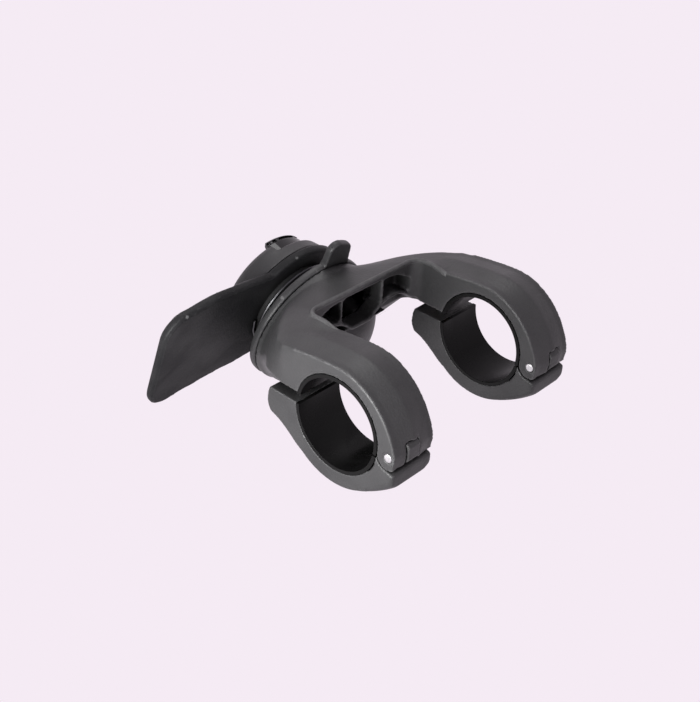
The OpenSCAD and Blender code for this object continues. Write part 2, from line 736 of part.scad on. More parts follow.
// Bayonet boss: the core, the conical head and the socket for a phone case
module bayonet_boss() {
    gap_turn = 360 * latch_gap / (2 * PI * latch_inner);
    slot_foot = lever_top + 1.2;
    color([0.13, 0.13, 0.14]) in_head_frame() difference() {
        union() {
            rotate_extrude()
                polygon([[0, base_h], [core_r, base_h], [core_r, boss_low], [boss_r, boss_low],
                    [boss_r - 1.6, rim_up - rim_drop], [boss_r - 2.1, rim_up - 2.1], [boss_r - rim_round, rim_up - 0.9],
                    [rim_r + 0.6, rim_up - 0.15],
                    [rim_r, rim_up], [socket_r, rim_up], [socket_r, socket_floor], [0, socket_floor]]);
            for (a = [10 : 90 : 280]) rotate([0, 0, a]) rotate_extrude(angle = 32)
                polygon([[socket_r - lug_deep, rim_up - lug_t], [socket_r + 0.5, rim_up - lug_t],
                    [socket_r + 0.5, rim_up], [socket_r - lug_deep, rim_up]]);
        }
        rotate([0, 0, latch_from - gap_turn]) rotate_extrude(angle = latch_span + 2 * gap_turn)
            polygon([[latch_inner - 0.4, slot_foot], [core_r + 0.1, slot_foot], [core_r + 0.1, boss_low - 1],
                [latch_r + latch_gap, boss_low - 1], [latch_r + latch_gap, socket_floor + 0.3],
                [boss_r + 7, socket_floor + 0.3], [boss_r + 7, rim_up + 7], [latch_inner - 0.4, rim_up + 7]]);
        translate([0, 0, -1]) cylinder(r = boss_screw_r + screw_play, h = rim_up + 5);
        translate([0, 0, socket_floor - boss_head_h - 0.2]) cylinder(r = boss_head_r + 0.2, h = rim_up);
    }
}

// Screw through the boss into the hub
module boss_screw() {
    color([0.7, 0.7, 0.72]) in_head_frame() difference() {
        union() {
            translate([0, 0, socket_floor - boss_head_h - 0.2]) cylinder(r = boss_head_r, h = boss_head_h);
            translate([0, 0, -boss_screw_in]) cylinder(r = boss_screw_r, h = socket_floor + boss_screw_in - 1);
        }
        translate([0, 0, socket_floor - boss_head_h + 0.8]) cylinder(r = 2, h = 5, $fn = 6);
    }
}
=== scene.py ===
"""Handlebar phone mount: softened mouldings, turned pins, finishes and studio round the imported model."""
import logging
import math
from dataclasses import dataclass
from enum import Enum
from functools import cached_property

import bmesh
import bpy
from mathutils import Matrix, Vector
from mathutils.bvhtree import BVHTree


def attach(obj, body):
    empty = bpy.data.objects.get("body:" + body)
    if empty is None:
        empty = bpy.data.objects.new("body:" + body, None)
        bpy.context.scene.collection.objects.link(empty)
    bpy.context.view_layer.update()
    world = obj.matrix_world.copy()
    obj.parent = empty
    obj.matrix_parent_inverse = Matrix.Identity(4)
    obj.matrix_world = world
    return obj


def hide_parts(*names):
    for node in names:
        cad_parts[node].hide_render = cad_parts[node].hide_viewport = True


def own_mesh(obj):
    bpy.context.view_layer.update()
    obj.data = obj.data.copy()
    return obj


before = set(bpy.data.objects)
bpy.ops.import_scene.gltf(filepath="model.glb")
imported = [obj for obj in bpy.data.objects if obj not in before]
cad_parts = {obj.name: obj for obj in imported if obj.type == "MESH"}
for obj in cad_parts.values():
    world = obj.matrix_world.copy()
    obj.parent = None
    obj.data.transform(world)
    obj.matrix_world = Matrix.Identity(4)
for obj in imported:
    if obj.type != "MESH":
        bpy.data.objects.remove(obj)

LOG = logging.getLogger("phone_mount")
MM = 0.001
WELD = 1e-6
FLOAT, VECTOR = "NodeSocketFloat", "NodeSocketVector"
HEAD_Y, HEAD_SEAM = 22.2, 51.6
CUT_PAST = 1.0
ABOVE_ALL = 40.0

Colour = tuple[float, float, float]
Place = tuple[float, float, float]
Outline = list[tuple[float, float]]
Feed = bpy.types.NodeSocket | float | tuple[float, ...]


class Side(Enum):
    """The two clamps, by the sign of their place along the bar."""

    LEFT = -1
    RIGHT = 1

    @property
    def word(self) -> str:
        """Word that ends the names of this side's nodes."""
        return self.name.lower()


class Lay(Enum):
    """Axis that the tool marks of a turned piece run round, with the stretch of the marks along it."""

    BAR = (0.05, 1.0, 1.0)
    HEAD = (1.0, 1.0, 0.05)


def opaque(colour: Colour) -> tuple[float, float, float, float]:
    """Colour with a full alpha, as colour inputs take it."""
    return (*colour, 1.0)


@dataclass(frozen=True)
class ClampFrame:
    """Directions of the clamps: s from the bar to the hub and n up from the slit."""

    lean: float = math.radians(17.6)

    def matrix(self) -> Matrix:
        """Turn from the clamps' own directions into the row frame."""
        return Matrix.Rotation(math.pi / 2 - self.lean, 4, "X")

    def point(self, x: float, s: float, n: float) -> Vector:
        """Place a point of the clamps' directions in the row frame.

        Args:
            x: Place along the bar in millimetres.
            s: Distance from the bar towards the hub in millimetres.
            n: Height over the slit in millimetres.

        Returns:
            The point in metres.
        """
        return self.matrix() @ (Vector((x, s, n)) * MM)


class Graph:
    """Shader nodes under construction."""

    def __init__(self, tree: bpy.types.NodeTree) -> None:
        """Work on a node tree.

        Args:
            tree: The tree.
        """
        self.nodes, self.links = tree.nodes, tree.links

    def feed(self, socket: bpy.types.NodeSocket, value: Feed) -> None:
        """Give an input its value.

        Args:
            socket: The input.
            value: An output to link to it, or a plain value.
        """
        if isinstance(value, bpy.types.NodeSocket):
            self.links.new(value, socket)
        else:
            socket.default_value = value

    def node(self, kind: str, feeds: dict[str | int, Feed], **settings: str | int) -> bpy.types.Node:
        """Add a node.

        Args:
            kind: Its type.
            feeds: What its inputs take, by name or number.
            settings: Its own settings, made before its inputs are fed.

        Returns:
            The node.
        """
        node = self.nodes.new(kind)
        for label, value in settings.items():
            setattr(node, label, value)
        for label, value in feeds.items():
            self.feed(node.inputs[label], value)
        return node

    def calc(self, operation: str, first: Feed, second: Feed) -> bpy.types.NodeSocket:
        """Reckon with two values.

        Args:
            operation: Name of the operation.
            first: First value.
            second: Second value.

        Returns:
            The result's socket.
        """
        return self.node("ShaderNodeMath", {0: first, 1: second}, operation=operation).outputs[0]

    def spread(self, value: Feed, start: float, end: float, low: float = 0.0,
               high: float = 1.0) -> bpy.types.NodeSocket:
        """Map a value to a new range.

        Args:
            value: Value to map.
            start: Value that gives low.
            end: Value that gives high.
            low: First result.
            high: Last result.

        Returns:
            The mapped value's socket.
        """
        feeds = {"From Min": start, "From Max": end, "To Min": low, "To Max": high, "Value": value}
        return self.node("ShaderNodeMapRange", feeds).outputs["Result"]

    def mix(self, mask: bpy.types.NodeSocket, low: Feed, high: Feed) -> bpy.types.NodeSocket:
        """Mix two colours by a mask.

        Args:
            mask: Socket from 0 to 1.
            low: Colour where the mask is 0.
            high: Colour where the mask is 1.

        Returns:
            The mixed colour's socket.
        """
        node = self.node("ShaderNodeMix", {"A": low, "B": high, "Factor": mask}, data_type="RGBA")
        return node.outputs["Result"]

    def showing_rays(self) -> bpy.types.NodeSocket:
        """Mask of the rays that show the backdrop: those of the camera, gloss and glass."""
        path = self.node("ShaderNodeLightPath", {}).outputs
        seen_by = self.calc("MAXIMUM", path["Is Camera Ray"], path["Is Glossy Ray"])
        return self.calc("MAXIMUM", seen_by, path["Is Transmission Ray"])


class GroupGraph(Graph):
    """Shader group under construction, with its outer sockets."""

    def __init__(self, name: str, takes: dict[str, float | None], gives: dict[str, str]) -> None:
        """Make an empty group with its sockets.

        Args:
            name: Name of the group.
            takes: Number inputs with their default, and vector inputs with None.
            gives: Output names with their socket type.
        """
        self.tree = bpy.data.node_groups.new(name, "ShaderNodeTree")
        super().__init__(self.tree)
        for label, value in takes.items():
            kind = VECTOR if value is None else FLOAT
            socket = self.tree.interface.new_socket(name=label, in_out="INPUT", socket_type=kind)
            if value is not None:
                socket.default_value = value
        for label, kind in gives.items():
            self.tree.interface.new_socket(name=label, in_out="OUTPUT", socket_type=kind)
        self.into = self.nodes.new("NodeGroupInput").outputs
        self.out = self.nodes.new("NodeGroupOutput").inputs


class NodeGroups:
    """Shader groups that several finishes share, each built at its first use."""

    @cached_property
    def mould_grain(self) -> bpy.types.NodeTree:
        """Fine spark-eroded grain as a height, and slow flow marks from the mould as a mask."""
        graph = GroupGraph("mould_grain", {"Vector": None, "Grain": 3500.0, "Flow": 60.0},
                           {"Height": FLOAT, "Marks": FLOAT})
        place, grain = graph.into["Vector"], graph.into["Grain"]
        fine = graph.node("ShaderNodeTexNoise", {"Vector": place, "Scale": grain, "Detail": 3.0, "Roughness": 0.6})
        pits = graph.node("ShaderNodeTexVoronoi", {"Vector": place, "Scale": graph.calc("MULTIPLY", grain, 0.6)},
                          feature="SMOOTH_F1")
        flow = graph.node("ShaderNodeTexNoise", {"Vector": place, "Scale": graph.into["Flow"], "Detail": 4.0,
                                                 "Distortion": 0.8})
        graph.feed(graph.out["Height"], graph.calc("ADD", fine.outputs["Fac"], pits.outputs["Distance"]))
        graph.feed(graph.out["Marks"], flow.outputs["Fac"])
        return graph.tree

    @cached_property
    def edge_wear_and_highlight(self) -> bpy.types.NodeTree:
        """Mask of the edges, worn by hands and tools and also lightened as a painted highlight, broken up by noise,
        and the softened edge normal.
        """
        graph = GroupGraph("edge_wear_and_highlight", {"Vector": None, "Radius": 0.0004, "Spots": 500.0},
                           {"Mask": FLOAT, "Normal": VECTOR})
        soft = graph.node("ShaderNodeBevel", {"Radius": graph.into["Radius"]}, samples=6).outputs["Normal"]
        shape = graph.node("ShaderNodeNewGeometry", {}).outputs
        meet = graph.node("ShaderNodeVectorMath", {0: soft, 1: shape["True Normal"]}, operation="DOT_PRODUCT")
        bent = graph.spread(meet.outputs["Value"], 0.995, 0.80)
        ridge = graph.spread(shape["Pointiness"], 0.52, 0.60)
        spots = graph.node("ShaderNodeTexNoise", {"Vector": graph.into["Vector"], "Scale": graph.into["Spots"],
                                                  "Detail": 5.0})
        broken = graph.spread(spots.outputs["Fac"], 0.30, 0.60, low=0.35)
        edge = graph.calc("MAXIMUM", bent, ridge)
        graph.feed(graph.out["Mask"], graph.calc("MULTIPLY", edge, broken))
        graph.feed(graph.out["Normal"], soft)
        return graph.tree

    @cached_property
    def shade_gaps(self) -> bpy.types.NodeTree:
        """Mask of slits, gaps and inner corners, where the colour is darkened as painted shade."""
        graph = GroupGraph("shade_gaps", {"Reach": 0.006}, {"Mask": FLOAT})
        near = graph.node("ShaderNodeAmbientOcclusion", {"Distance": graph.into["Reach"]}, samples=8)
        graph.feed(graph.out["Mask"], graph.spread(near.outputs["AO"], 0.75, 0.25))
        return graph.tree

    @cached_property
    def turned_rings(self) -> bpy.types.NodeTree:
        """Height of the fine, slightly uneven rings that a lathe leaves."""
        graph = GroupGraph("turned_rings", {"Vector": None, "Pitch": 2500.0}, {"Height": FLOAT})
        reach = graph.node("ShaderNodeVectorMath", {0: graph.into["Vector"]}, operation="LENGTH")
        rings = graph.node("ShaderNodeTexNoise", {"W": reach.outputs["Value"], "Scale": graph.into["Pitch"],
                                                  "Detail": 3.0}, noise_dimensions="1D")
        graph.feed(graph.out["Height"], rings.outputs["Fac"])
        return graph.tree


GROUPS = NodeGroups()


class Shader(Graph):
    """Material under construction, with its Principled BSDF's inputs and Object coordinates."""

    def __init__(self, name: str) -> None:
        """Make the material.

        Args:
            name: Name of the material.
        """
        self.material = bpy.data.materials.new(name)
        self.material.use_nodes = True
        super().__init__(self.material.node_tree)
        self.surface = self.nodes["Principled BSDF"].inputs
        self.place = self.nodes.new("ShaderNodeTexCoord").outputs["Object"]

    def group(self, tree: bpy.types.NodeTree, **feeds: Feed) -> bpy.types.NodeOutputs:
        """Place a shared group.

        Args:
            tree: The group.
            feeds: What its inputs take.

        Returns:
            The group's outputs.
        """
        return self.node("ShaderNodeGroup", feeds, node_tree=tree).outputs

    def raise_by(self, height: bpy.types.NodeSocket, depth: float, normal: bpy.types.NodeSocket) -> None:
        """Feed a height into the surface's normal.

        Args:
            height: Socket with the height.
            depth: Height of a full step in metres.
            normal: Normal that the bump stands on.
        """
        bump = self.node("ShaderNodeBump", {"Strength": 1.0, "Distance": depth, "Height": height, "Normal": normal})
        self.feed(self.surface["Normal"], bump.outputs["Normal"])


@dataclass(frozen=True)
class MouldedPlastic:
    """Glass-filled plastic with a grained mould finish, rubbed edges that are also lightened as a painted highlight,
    and painted shade in its gaps.
    """

    name: str
    colour: Colour
    marked: Colour
    rubbed_and_highlit: Colour
    smooth: float
    rough: float
    grain: float
    depth: float
    edge: float = 0.0004
    ior: float = 1.4
    polish: float = 0.14
    # Share of the colour left in slits, gaps and inner corners, where shade is painted in.
    gap_share: float = 0.12

    def build(self) -> bpy.types.Material:
        """Build the material."""
        shader = Shader(self.name)
        grain = shader.group(GROUPS.mould_grain, Vector=shader.place, Grain=self.grain)
        wear_and_highlight = shader.group(GROUPS.edge_wear_and_highlight, Vector=shader.place, Radius=self.edge)
        gaps = shader.group(GROUPS.shade_gaps)
        marks = shader.spread(grain["Marks"], 0.35, 0.65)
        base = shader.mix(marks, opaque(self.colour), opaque(self.marked))
        # Edges take the lighter rubbed colour: partly wear, partly a painted highlight where light catches the rounded
        # edge.
        worn_and_highlit = shader.mix(wear_and_highlight["Mask"], base, opaque(self.rubbed_and_highlit))
        # Painted shade: slits, gaps and inner corners are darkened towards this dark colour.
        dark = opaque(tuple(self.gap_share * part for part in self.colour))
        shader.feed(shader.surface["Base Color"], shader.mix(gaps["Mask"], worn_and_highlit, dark))
        rough = shader.spread(grain["Marks"], 0.3, 0.7, self.rough, self.smooth)
        less = shader.spread(wear_and_highlight["Mask"], 0.0, 1.0, high=self.polish)
        shader.feed(shader.surface["Roughness"], shader.calc("SUBTRACT", rough, less))
        shader.feed(shader.surface["IOR"], self.ior)
        shader.raise_by(grain["Height"], self.depth, wear_and_highlight["Normal"])
        return shader.material


@dataclass(frozen=True)
class SoftRubber:
    """Black liner rubber, polished where the bar presses and dusty elsewhere."""

    name: str
    colour: Colour
    dusty: Colour
    smooth: float
    rough: float
    grain: float = 1800.0
    flow: float = 110.0
    depth: float = 0.000012
    edge: float = 0.0003
    ior: float = 1.18

    def build(self) -> bpy.types.Material:
        """Build the material."""
        shader = Shader(self.name)
        grain = shader.group(GROUPS.mould_grain, Vector=shader.place, Grain=self.grain, Flow=self.flow)
        wear_and_highlight = shader.group(GROUPS.edge_wear_and_highlight, Vector=shader.place, Radius=self.edge)
        marks = shader.spread(grain["Marks"], 0.4, 0.7)
        shader.feed(shader.surface["Base Color"], shader.mix(marks, opaque(self.colour), opaque(self.dusty)))
        rough = shader.spread(grain["Marks"], 0.35, 0.65, self.smooth, self.rough)
        shader.feed(shader.surface["Roughness"], rough)
        shader.feed(shader.surface["IOR"], self.ior)
        shader.raise_by(grain["Height"], self.depth, wear_and_highlight["Normal"])
        return shader.material


@dataclass(frozen=True)
class TurnedMetal:
    """Turned or drawn metal with fine tool marks round one axis."""

    name: str
    colour: Colour
    stained: Colour
    smooth: float
    rough: float
    lay: Lay = Lay.BAR
    grain: float = 900.0
    flow: float = 300.0
    depth: float = 0.00001
    edge: float = 0.0002

    def build(self) -> bpy.types.Material:
        """Build the material."""
        shader = Shader(self.name)
        along = shader.node("ShaderNodeVectorMath", {0: shader.place, 1: self.lay.value}, operation="MULTIPLY")
        rings = shader.group(GROUPS.turned_rings, Vector=along.outputs["Vector"])
        grain = shader.group(GROUPS.mould_grain, Vector=shader.place, Grain=self.grain, Flow=self.flow)
        wear_and_highlight = shader.group(GROUPS.edge_wear_and_highlight, Vector=shader.place, Radius=self.edge)
        marks = shader.spread(grain["Marks"], 0.4, 0.7)
        shader.feed(shader.surface["Base Color"], shader.mix(marks, opaque(self.colour), opaque(self.stained)))
        rough = shader.spread(rings["Height"], 0.3, 0.7, self.smooth, self.rough)
        shader.feed(shader.surface["Roughness"], rough)
        shader.feed(shader.surface["Metallic"], 1.0)
        shader.raise_by(rings["Height"], self.depth, wear_and_highlight["Normal"])
        return shader.material


class Finish(Enum):
    """Finishes by the record's material slots."""

    # The third colour of each moulded finish is its rubbed edge, lightened partly for wear and partly as a painted
    # highlight.
    moulded_body = MouldedPlastic("charcoal_body", (0.040, 0.040, 0.041), (0.048, 0.048, 0.049),
                                  (0.180, 0.180, 0.182), 0.40, 0.52, 1700.0, 0.00006)
    moulded_cap = MouldedPlastic("charcoal_cap", (0.038, 0.038, 0.039), (0.046, 0.046, 0.047),
                                 (0.160, 0.160, 0.162), 0.40, 0.52, 1700.0, 0.00006)
    moulded_lever = MouldedPlastic("charcoal_lever", (0.013, 0.013, 0.014), (0.020, 0.020, 0.021),
                                   (0.120, 0.120, 0.122), 0.42, 0.56, 1700.0, 0.00006, ior=1.22)
    moulded_head = MouldedPlastic("charcoal_head", (0.026, 0.026, 0.027), (0.034, 0.034, 0.035),
                                  (0.120, 0.120, 0.122), 0.38, 0.50, 1700.0, 0.00005)
    latch_plastic = MouldedPlastic("polished_latch", (0.008, 0.008, 0.009), (0.011, 0.011, 0.012),
                                   (0.040, 0.040, 0.042), 0.06, 0.14, 1400.0, 0.000004)
    liner_rubber = SoftRubber("liner_rubber", (0.003, 0.003, 0.003), (0.006, 0.006, 0.006), 0.22, 0.38)
    pin_steel = TurnedMetal("pin_steel", (0.62, 0.62, 0.62), (0.48, 0.48, 0.49), 0.34, 0.50)
    bolt_steel = TurnedMetal("bolt_steel", (0.60, 0.60, 0.61), (0.50, 0.50, 0.51), 0.30, 0.44)
    spring_steel = TurnedMetal("spring_steel", (0.12, 0.12, 0.125), (0.08, 0.08, 0.085), 0.30, 0.44, Lay.HEAD)
    insert_brass = TurnedMetal("insert_brass", (0.70, 0.50, 0.22), (0.58, 0.40, 0.17), 0.32, 0.45)


class Paint:
    """Puts each finish on nodes and pieces, building its material once."""

    def __init__(self) -> None:
        """Start with no material built."""
        self.built: dict[str, bpy.types.Material] = {}

    def material(self, finish: Finish) -> bpy.types.Material:
        """Material of a finish."""
        if finish.name not in self.built:
            self.built[finish.name] = finish.value.build()
        return self.built[finish.name]

    def dress(self, piece: bpy.types.Object, finish: Finish) -> None:
        """Give a piece one finish all over.

        Args:
            piece: CAD node or new piece.
            finish: Its finish.
        """
        piece.data.materials.clear()
        piece.data.materials.append(self.material(finish))


PAINT = Paint()


def hold(name: str, shape: bmesh.types.BMesh) -> bpy.types.Object:
    """Clean a shape and hold it in an object.

    Args:
        name: Name of the object.
        shape: Its shape in the row frame, freed here.

    Returns:
        The object.
    """
    bmesh.ops.remove_doubles(shape, verts=shape.verts, dist=WELD)
    bmesh.ops.recalc_face_normals(shape, faces=shape.faces)
    mesh = bpy.data.meshes.new(name)
    shape.to_mesh(mesh)
    shape.free()
    piece = bpy.data.objects.new(name, mesh)
    bpy.context.collection.objects.link(piece)
    return piece


def relax(skin: bmesh.types.BMesh, verts: list[bmesh.types.BMVert], rounds: int) -> None:
    """Smooth some points of a skin.

    Args:
        skin: The skin.
        verts: The points.
        rounds: Rounds of smoothing.
    """
    for _ in range(rounds):
        bmesh.ops.smooth_vert(skin, verts=verts, factor=0.5, use_axis_x=True, use_axis_y=True, use_axis_z=True)


def mirrored(right: Outline) -> Outline:
    """Close the right half of an outline with its mirror image.

    Args:
        right: Places along the bar and heights over the slit, in millimetres.

    Returns:
        The whole outline.
    """
    return right + [(-x, n) for x, n in reversed(right)]


def prism(outline: Outline, start: float, end: float) -> bmesh.types.BMesh:
    """Extrude an outline across the wall between the arms.

    Args:
        outline: Places along the bar and heights over the slit, in millimetres.
        start: Distance from the bar where the prism begins.
        end: Distance from the bar where it ends.

    Returns:
        The prism in the row frame.
    """
    place = ClampFrame()
    shape = bmesh.new()
    corners = [shape.verts.new(place.point(x, start, n)) for x, n in outline]
    face = shape.faces.new(corners)
    pulled = bmesh.ops.extrude_face_region(shape, geom=[face])["geom"]
    way = place.point(0.0, end - start, 0.0)
    bmesh.ops.translate(shape, vec=way, verts=[item for item in pulled if isinstance(item, bmesh.types.BMVert)])
    return shape


def head_ring(inner: float, outer: float, low: float, high: float) -> bmesh.types.BMesh:
    """Turn a square-edged ring round the head's axis.

    Args:
        inner: Its inner radius in millimetres.
        outer: Its outer radius.
        low: Height of its underside over the hub's seam.
        high: Height of its top over the seam.

    Returns:
        The ring in the row frame.
    """
    centre = Vector((0.0, HEAD_Y, HEAD_SEAM)) * MM
    shape = bmesh.new()
    corners = [shape.verts.new(centre + Vector((r, 0.0, z)) * MM)
               for r, z in ((inner, low), (outer, low), (outer, high), (inner, high))]
    edges = [shape.edges.new((corners[i], corners[(i + 1) % 4])) for i in range(4)]
    bmesh.ops.spin(shape, geom=corners + edges, cent=centre, axis=(0.0, 0.0, 1.0), angle=math.tau, steps=96,
                   use_merge=True)
    return shape


@dataclass
class Assembly:
    """Sub-assembly of the mount that dresses its own nodes and adds its own pieces."""

    def add(self, name: str, shape: bmesh.types.BMesh, body: str, finish: Finish,
            replaced: tuple[str, ...] = (), sharp: float = 32.0) -> bpy.types.Object:
        """Turn a finished shape into a piece of the object.

        Args:
            name: Name of the piece.
            shape: Its shape in the row frame, freed here.
            body: CAD body that it rides on.
            finish: Its finish.
            replaced: CAD nodes that it stands for.
            sharp: Angle in degrees from which an edge stays sharp.

        Returns:
            The new piece.
        """
        piece = hold(name, shape)
        piece.data.shade_smooth()
        piece.data.set_sharp_from_angle(angle=math.radians(sharp))
        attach(piece, body)
        if replaced:
            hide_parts(*replaced)
        PAINT.dress(piece, finish)
        LOG.info("piece %s rides on %s with %d faces", name, body, len(piece.data.polygons))
        return piece

    def remould(self, node: str, cell: float, rounds: int = 2, cuts: tuple[bmesh.types.BMesh, ...] = (),
                joins: tuple[bmesh.types.BMesh, ...] = ()) -> bmesh.types.BMesh:
        """Copy a CAD node as one even skin with the soft edges of a moulding.

        Args:
            node: CAD node to copy.
            cell: Size of the skin's cells in millimetres.
            rounds: Rounds of smoothing that soften its edges.
            cuts: Shapes to cut away.
            joins: Shapes to add.

        Returns:
            The skin.
        """
        copy = bmesh.new()
        copy.from_mesh(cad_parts[node].data)
        piece = hold(f"{node}_skin", copy)
        tools = []
        for work, shapes in (("DIFFERENCE", cuts), ("UNION", joins)):
            for shape in shapes:
                tools.append(hold(f"{node}_tool_{len(tools)}", shape))
                change = piece.modifiers.new(f"{work.lower()}_{len(tools)}", "BOOLEAN")
                change.operation = work
                change.solver = "EXACT"
                change.object = tools[-1]
        even = piece.modifiers.new("even", "REMESH")
        even.mode = "VOXEL"
        even.voxel_size = cell * MM
        soften = piece.modifiers.new("soften", "SMOOTH")
        soften.factor = 0.5
        soften.iterations = rounds
        skin = bmesh.new()
        skin.from_object(piece, bpy.context.evaluated_depsgraph_get())
        for passing in (piece, *tools):
            mesh = passing.data
            bpy.data.objects.remove(passing)
            bpy.data.meshes.remove(mesh)
        return skin

    def add_moulding(self, name: str, skin: bmesh.types.BMesh, body: str, finish: Finish, node: str,
                     sharp: float = 75.0) -> None:
        """Stand a softened skin in the place of a CAD node.

        Args:
            name: Name of the piece.
            skin: Its skin, freed here.
            body: CAD body that it rides on.
            finish: Its finish.
            node: CAD node that it stands for.
            sharp: Angle in degrees from which an edge stays sharp.
        """
        self.add(name, skin, body, finish, (node,), sharp)

    def dress_nodes(self, finishes: dict[str, Finish]) -> None:
        """Dress CAD nodes.

        Args:
            finishes: Finish of each node.
        """
        for node, finish in finishes.items():
            PAINT.dress(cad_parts[node], finish)
            LOG.info("node %s dressed as %s", node, finish.name)


@dataclass
class Yoke(Assembly):
    """One-piece yoke between the clamps and the head, with sizes in millimetres.

    Places across the wall are given from its face at the throat, and heights over the slit.
    """

    cell: float = 0.6
    rounds: int = 4
    throat: float = 30.5
    inner_x: float = 26.85
    wall: float = 2.5
    ceiling: float = 17.3
    before: float = 0.3
    pocket_foot: tuple[float, float, float] = (2.6, 3.3, 5.2)
    pocket_steps: tuple[tuple[float, float], ...] = ((0.0, 4.4), (7.0, 0.9), (15.0, 0.0))
    pocket_deep: float = 6.4
    door_x: float = 9.6
    door_low: float = 3.4
    door_high: float = 12.0
    door_deep: float = 12.5
    floor: float = 3.1
    floor_flat: float = 5.1
    floor_rise: float = 5.3
    floor_round: float = 0.8
    strip: float = 1.3
    strip_steps: int = 24
    strip_from: float = 0.1
    strip_deep: float = 7.0
    pad_x: float = 9.35
    pad_slope: float = 10.0
    pad_foot: float = 1.9
    pad_side: float = 0.7
    pad_rise: float = 0.2
    pad_from: float = 3.0
    pad_deep: float = 8.2
    rib_x: float = 10.3
    rib_t: float = 1.2
    rib_end: float = 0.3
    rib_from: float = 0.5
    rib_deep: float = 6.0
    throat_r: float = 4.0
    lip_r: float = 0.85
    lip_off: float = 0.7
    lip_from: float = 17.0
    lip_fade: int = 6
    lip_sink: float = 0.75
    bend_steps: int = 6
    front_steps: int = 8
    melt_from: float = 19.0
    melt_to: float = 29.0
    melt_over: float = 9.0
    melt_off: float = 0.6
    melt_rounds: int = 16

    def build(self) -> None:
        """Dress the yoke and its inserts."""
        skin = self.remould("yoke", self.cell, self.rounds, (self.pocket(), self.doorway()),
                            (self.floor_strip(), self.ceiling_pad(), self.rib(-1), self.rib(1)))
        self.melt_steps(skin)
        skin.from_mesh(self.lip(skin))
        self.add_moulding("yoke_body", skin, "mount", Finish.moulded_body, "yoke")
        self.dress_nodes({f"thread_insert_{side.word}": Finish.insert_brass for side in Side})

    def floor_at(self, x: float) -> float:
        """Height of the wall's arched lower edge at a place along the bar."""
        along = (abs(x) - self.floor_flat) / (self.inner_x - self.floor_flat)
        arch = math.sin(math.pi * min(max(along, 0.0), 1.0))
        return self.floor + self.floor_rise * arch ** self.floor_round

    def pocket(self) -> bmesh.types.BMesh:
        """Space behind the wall, from the arms' undersides to the crown's ceiling."""
        edge = self.inner_x - self.wall
        low, bend, high = self.pocket_foot
        right = [(self.inner_x, low), (self.inner_x, bend), (edge, high)]
        right += [(edge - inset, self.ceiling - fall) for inset, fall in self.pocket_steps]
        return prism(mirrored(right), self.throat - self.before, self.throat + self.pocket_deep)

    def doorway(self) -> bmesh.types.BMesh:
        """Opening from the pocket into the hub."""
        right = [(self.door_x, self.door_low), (self.door_x, self.door_high)]
        return prism(mirrored(right), self.throat - self.before, self.throat + self.door_deep)

    def floor_strip(self) -> bmesh.types.BMesh:
        """Thin arched strip along the foot of the wall."""
        places = [self.inner_x * step / self.strip_steps for step in range(-self.strip_steps, self.strip_steps + 1)]
        low = [(x, self.floor_at(x)) for x in places]
        high = [(x, self.floor_at(x) + self.strip) for x in reversed(places)]
        return prism(low + high, self.throat + self.strip_from, self.throat + self.strip_deep)

    def ceiling_pad(self) -> bmesh.types.BMesh:
        """Thicker ceiling where the pocket meets the hub."""
        outer = self.pad_x + self.pad_slope
        right = [(outer, self.ceiling - self.pad_foot), (outer, self.ceiling - self.pad_side),
                 (self.pad_x, self.ceiling + self.pad_rise)]
        return prism(mirrored(right), self.throat + self.pad_from, self.throat + self.pad_deep)

    def rib(self, side: int) -> bmesh.types.BMesh:
        """Thin upright rib in the pocket.

        Args:
            side: Sign of its place along the bar.

        Returns:
            The rib in the row frame.
        """
        x, half = side * self.rib_x, self.rib_t / 2
        low, high = self.floor_at(x) + self.rib_end, self.ceiling - self.rib_end
        return prism([(x - half, low), (x + half, low), (x + half, high), (x - half, high)],
                     self.throat + self.rib_from, self.throat + self.rib_deep)

    def lip_path(self) -> Outline:
        """Places of the lip along the bar and away from it, from one arm round the throat to the other."""
        bend = self.throat_r + self.lip_off
        side_x = self.inner_x + self.lip_off
        corner_x, corner_s = self.inner_x - self.throat_r, self.throat - self.throat_r
        half = [(side_x, self.lip_from + step) for step in range(int(corner_s - self.lip_from) + 1)]
        for step in range(self.bend_steps + 1):
            angle = math.pi / 2 * step / self.bend_steps
            half.append((corner_x + bend * math.cos(angle), corner_s + bend * math.sin(angle)))
        half += [(corner_x * part / self.front_steps, self.throat + self.lip_off)
                 for part in reversed(range(self.front_steps))]
        return half + [(-x, s) for x, s in reversed(half[:-1])]

    def lip(self, skin: bmesh.types.BMesh) -> bpy.types.Mesh:
        """Rounded lip on the crown's edge round the space between the arms.

        Args:
            skin: The yoke's skin, on which the lip lies.

        Returns:
            The lip's mesh.
        """
        place = ClampFrame()
        path = self.lip_path()
        tree = BVHTree.FromBMesh(skin)
        down = (place.point(0.0, 0.0, -1.0) - place.point(0.0, 0.0, 0.0)).normalized()
        curve = bpy.data.curves.new("throat_lip", "CURVE")
        curve.dimensions = "3D"
        curve.bevel_depth = self.lip_r * MM
        curve.bevel_resolution = 3
        curve.use_fill_caps = True
        line = curve.splines.new("POLY")
        line.points.add(len(path) - 1)
        for count, (point, (x, s)) in enumerate(zip(line.points, path)):
            hit = tree.ray_cast(place.point(x, s, ABOVE_ALL), down)[0]
            fade = min(count, len(path) - 1 - count, self.lip_fade) / self.lip_fade
            point.co = (*(hit + down * (self.lip_r * (1.0 - self.lip_sink * fade)) * MM), 1.0)
        holder = bpy.data.objects.new("throat_lip", curve)
        bpy.context.collection.objects.link(holder)
        mesh = bpy.data.meshes.new_from_object(holder.evaluated_get(bpy.context.evaluated_depsgraph_get()))
        bpy.data.objects.remove(holder)
        return mesh

